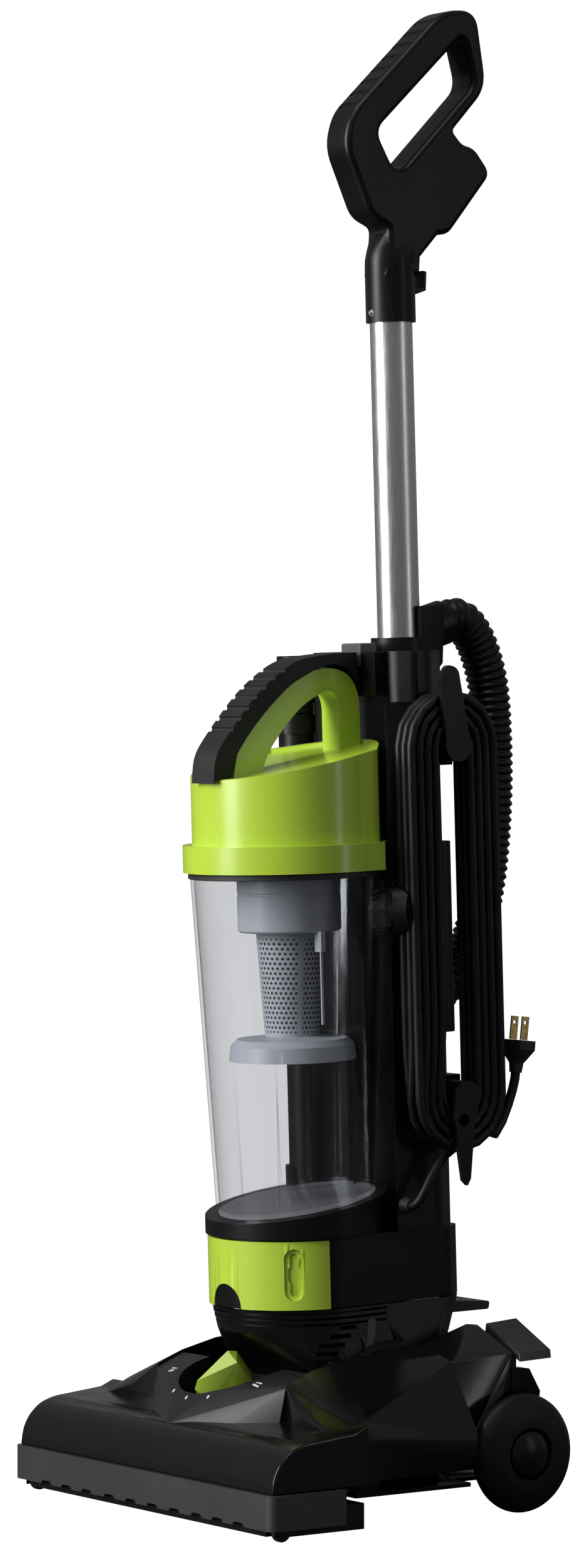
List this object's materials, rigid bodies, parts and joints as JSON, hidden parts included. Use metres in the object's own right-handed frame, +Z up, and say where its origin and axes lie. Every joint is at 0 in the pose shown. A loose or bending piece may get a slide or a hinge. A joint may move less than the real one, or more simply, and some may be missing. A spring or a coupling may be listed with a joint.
{
  "type": "upright vacuum cleaner",
  "caption": "Upright bagless vacuum cleaner: wheeled cleaning foot, reclining tower with a clear cyclone cup and lidded carrying handle, tube and loop grip, stowed hose, wand and mains cord.",
  "frame": {"origin": "on the floor under the middle of the machine's footprint, without its hose and cord", "axes": "+Z up, -Y towards the cleaning edge, +X to the user's right when they stand behind it; the side with the wound cord"},
  "size_m": [0.334, 0.3368, 1.1035],
  "materials": {
    "hood_gloss": "high-gloss moulded black plastic",
    "black_satin": "satin black moulded plastic with a fine grain",
    "dark_grey": "satin dark grey moulded plastic",
    "lime": "semi-gloss lime green moulded plastic",
    "clear": "clear, faintly grey styrene plastic",
    "cyclone_grey": "satin blue-grey moulded plastic",
    "grip_rubber": "soft-touch black grip",
    "tube_aluminium": "satin drawn aluminium tube",
    "steel": "plain steel",
    "brass": "bright brass",
    "foam": "open-cell black filter foam",
    "wheel": "moulded black wheel with a soft tread",
    "hose": "black flexible hose over a wire helix",
    "cord": "black two-core mains flex",
    "bristle": "black brush roll with nylon tufts",
    "switch": "black switch body",
    "belt": "flat rubber belt"
  },
  "bodies": {
    "foot": {"foot_hood": "hood_gloss", "knob_bezel": "dark_grey", "front_bumper": "dark_grey", "sole_plate": "black_satin", "brush_bearing_left": "dark_grey", "brush_bearing_right": "dark_grey", "drive_belt": "belt", "foot_pan": "black_satin", "wheel_axle_left": "dark_grey", "wheel_axle_right": "dark_grey", "pedal_pin": "steel", "pedal_spring": "steel"},
    "roller_left": {"front_roller_left": "wheel"},
    "roller_right": {"front_roller_right": "wheel"},
    "carriage": {"height_carriage": "black_satin"},
    "carriage_rollers": {"carriage_roller": "wheel"},
    "knob": {"height_knob": "lime"},
    "brush": {"brush_roll": "bristle"},
    "wheel_left": {"rear_wheel_left": "wheel"},
    "wheel_right": {"rear_wheel_right": "wheel"},
    "foot_pedal": {"release_pedal": "dark_grey"},
    "tower": {"motor_housing": "black_satin", "motor_stator": "steel", "tower_base": "black_satin", "filter_tray": "dark_grey", "foam_filter": "foam", "cup_seat": "grip_rubber", "spine_front": "black_satin", "spine_back": "black_satin", "tower_head": "black_satin", "inlet_duct": "black_satin", "handle_tube": "tube_aluminium", "handle_left_half": "black_satin", "handle_right_half": "black_satin", "handle_screw": "steel", "lower_cord_hook": "black_satin", "power_switch": "switch", "hose_cuff_upper": "black_satin", "return_duct": "black_satin", "hose_cuff_lower": "black_satin", "suction_hose": "hose", "cord_gland": "cord", "cord_lead": "cord", "cord_hank": "cord", "cord_tail": "cord", "plug_body": "cord", "plug_blade_left": "brass", "plug_blade_right": "brass"},
    "rotor": {"motor_rotor": "steel"},
    "door": {"filter_door": "lime"},
    "button": {"cup_release_button": "cyclone_grey"},
    "cup": {"dust_cup": "clear", "cup_seal": "grip_rubber"},
    "lid": {"cup_lid": "lime", "lid_grip": "grip_rubber", "cyclone_shroud": "cyclone_grey", "cyclone_screen": "cyclone_grey"},
    "wand": {"extension_wand": "black_satin"},
    "cord_hook": {"upper_cord_hook": "black_satin"},
    "switch_pedal": {"power_pedal": "dark_grey"}
  },
  "joints": [
    {"name": "tower_recline", "type": "hinge", "parent": "foot", "child": "tower", "pos_m": [0, 0.0209, 0.075], "axis": [-1, 0, 0], "range_deg": [0, 50]},
    {"name": "brush_motor_spin", "type": "hinge", "parent": "tower", "child": "rotor", "pos_m": [0, 0.0209, 0.075], "axis": [1, 0, 0], "continuous": true},
    {"name": "brush_spin", "type": "hinge", "parent": "foot", "child": "brush", "pos_m": [0, -0.1131, 0.024], "axis": [1, 0, 0], "continuous": true},
    {"name": "wheel_left_spin", "type": "hinge", "parent": "foot", "child": "wheel_left", "pos_m": [-0.1435, 0.0839, 0.043], "axis": [1, 0, 0], "continuous": true},
    {"name": "wheel_right_spin", "type": "hinge", "parent": "foot", "child": "wheel_right", "pos_m": [0.1435, 0.0839, 0.043], "axis": [1, 0, 0], "continuous": true},
    {"name": "roller_left_spin", "type": "hinge", "parent": "foot", "child": "roller_left", "pos_m": [-0.156, -0.1381, 0.007], "axis": [1, 0, 0], "continuous": true},
    {"name": "roller_right_spin", "type": "hinge", "parent": "foot", "child": "roller_right", "pos_m": [0.156, -0.1381, 0.007], "axis": [1, 0, 0], "continuous": true},
    {"name": "knob_turn", "type": "hinge", "parent": "foot", "child": "knob", "pos_m": [0, -0.0751, 0.09], "axis": [0, 0, 1], "range_deg": [-60, 60]},
    {"name": "carriage_slide", "type": "slide", "parent": "foot", "child": "carriage", "axis": [0, 0, -1], "range_m": [-0.0032, 0.0032]},
    {"name": "carriage_roll", "type": "hinge", "parent": "carriage", "child": "carriage_rollers", "pos_m": [0, -0.0801, 0.0094], "axis": [1, 0, 0], "continuous": true},
    {"name": "release_pedal_press", "type": "hinge", "parent": "foot", "child": "foot_pedal", "pos_m": [0.107, 0.0969, 0.08], "axis": [-1, 0, 0], "range_deg": [0, 12], "stiffness_Nm_per_rad": 2, "springref_deg": -5.73},
    {"name": "power_pedal_press", "type": "hinge", "parent": "tower", "child": "switch_pedal", "pos_m": [0.006, 0.08298, 0.13698], "axis": [-1, 0, 0], "range_deg": [0, 8], "stiffness_Nm_per_rad": 2, "springref_deg": -5.73},
    {"name": "door_pull", "type": "slide", "parent": "tower", "child": "door", "axis": [0, -0.9995, -0.0314], "range_m": [0, 0.06]},
    {"name": "cup_button_press", "type": "slide", "parent": "tower", "child": "button", "axis": [0, 0.0314, -0.9995], "range_m": [0, 0.004], "stiffness_N_per_m": 600, "springref_m": -0.002},
    {"name": "cup_pull", "type": "slide", "parent": "tower", "child": "cup", "axis": [0, -0.9995, -0.0314], "range_m": [0, 0.16]},
    {"name": "lid_lift", "type": "slide", "parent": "cup", "child": "lid", "axis": [0, -0.0314, 0.9995], "range_m": [0, 0.028]},
    {"name": "wand_lift", "type": "slide", "parent": "tower", "child": "wand", "axis": [0, -0.0314, 0.9995], "range_m": [0, 0.35]},
    {"name": "cord_hook_turn", "type": "hinge", "parent": "tower", "child": "cord_hook", "pos_m": [0.086, 0.06189, 0.55352], "axis": [1, 0, 0], "range_deg": [0, 180]}
  ],
  "couplings": [
    {"joint": "brush_spin", "follows": "brush_motor_spin", "ratio": 0.7167},
    {"joint": "carriage_slide", "follows": "knob_turn", "m_per_rad": 0.003}
  ]
}
